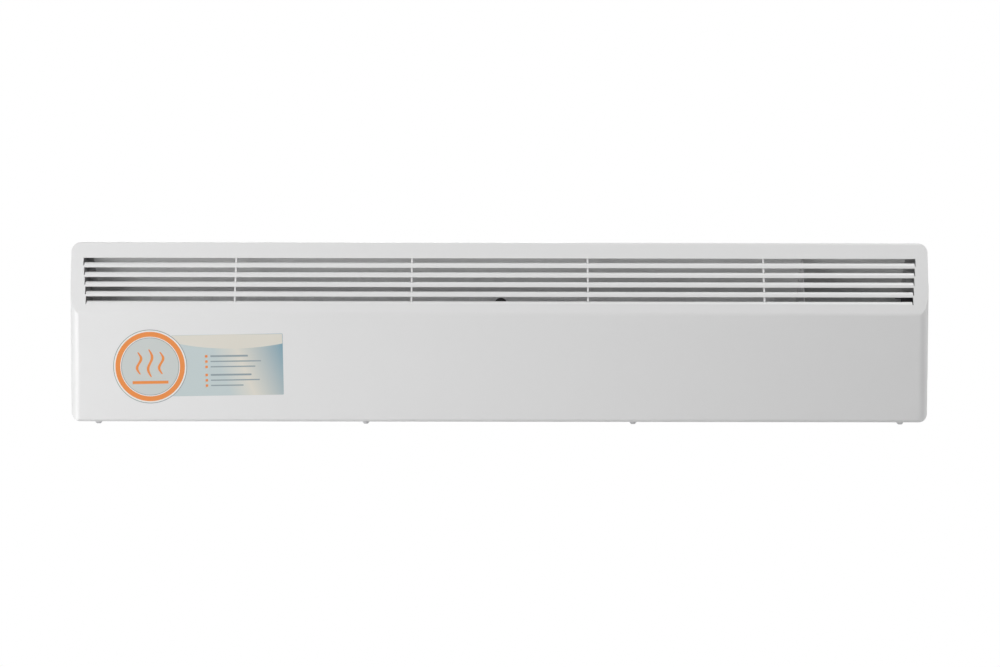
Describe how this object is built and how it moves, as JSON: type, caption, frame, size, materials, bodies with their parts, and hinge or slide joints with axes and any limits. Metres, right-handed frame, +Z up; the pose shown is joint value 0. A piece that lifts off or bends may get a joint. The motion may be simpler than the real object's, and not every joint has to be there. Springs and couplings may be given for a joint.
{
  "type": "convector heater",
  "caption": "Low wall-hung electric convector heater: pressed steel casing with a leaning louvred upper face, finned element, end-wall controls and a hook-on wall bracket",
  "frame": {"origin": "On the wall, in the middle of the wall bracket's four fixing slots, level with the middle of the casing", "axes": "+X to the right seen from the front, +Y into the wall so the front faces -Y, +Z up"},
  "size_m": [1.0706, 0.095, 0.223],
  "materials": {
    "white_paint": "smooth satin white powder coat",
    "zinc_steel": "galvanised sheet, faint spangle",
    "dark_screw": "dark phosphated pan-head screws",
    "screw_steel": "bright zinc",
    "rod_steel": "satin stainless",
    "fin_aluminium": "mill-finish extrusion",
    "ceramic": "glazed off-white ceramic",
    "black_rubber": "matt moulded rubber",
    "red_silicone": "matt silicone",
    "black_plastic": "fine spark-textured black",
    "black_gloss": "smooth gloss black",
    "pale_plastic": "fine-textured pale grey-white moulding",
    "amber_lens": "clear amber lens",
    "brass": "turned brass",
    "copper": "drawn copper",
    "wire_sleeve": "silicone-sleeved leads"
  },
  "bodies": {
    "bracket": {"wall_bracket": "zinc_steel"},
    "heater": {"front_cover": "white_paint", "grille_stays": "white_paint", "rear_panel": "zinc_steel", "cover_screws": "dark_screw", "rear_screws": "screw_steel", "rear_spacers": "black_rubber", "air_baffle": "zinc_steel", "air_deflector": "zinc_steel", "left_partition": "zinc_steel", "right_partition": "zinc_steel", "wire_grommet": "black_rubber", "element_body": "fin_aluminium", "element_rod": "rod_steel", "element_insulators": "ceramic", "element_terminals": "screw_steel", "element_brackets": "zinc_steel", "element_bushes": "red_silicone", "bracket_screws": "screw_steel", "cutout_bracket": "zinc_steel", "thermal_cutout": "black_plastic", "control_bezel": "pale_plastic", "switch_housing": "black_plastic", "indicator_lens": "amber_lens", "thermostat_body": "black_plastic", "thermostat_screws": "screw_steel", "thermostat_capillary": "copper", "thermostat_bulb": "copper", "bulb_clip": "zinc_steel", "terminal_block": "pale_plastic", "terminal_screws": "brass", "earth_stud": "brass", "cable_gland": "black_plastic", "gland_nut": "black_plastic", "inner_wiring": "wire_sleeve"},
    "rocker": {"switch_rocker": "black_gloss"},
    "knob": {"thermostat_knob": "pale_plastic", "thermostat_shaft": "rod_steel"}
  },
  "joints": [
    {"name": "heater_lift", "type": "slide", "parent": "bracket", "child": "heater", "axis": [0, 0, 1], "range_m": [0, 0.012]},
    {"name": "rocker_tip", "type": "hinge", "parent": "heater", "child": "rocker", "pos_m": [0.5206, -0.04636, 0.034], "axis": [-0.1045, -0.9945, 0], "range_deg": [0, 20]},
    {"name": "knob_turn", "type": "hinge", "parent": "heater", "child": "knob", "pos_m": [0.53149, -0.0475, -0.032], "axis": [-0.9945, 0.1045, 0], "range_deg": [0, 270]}
  ]
}
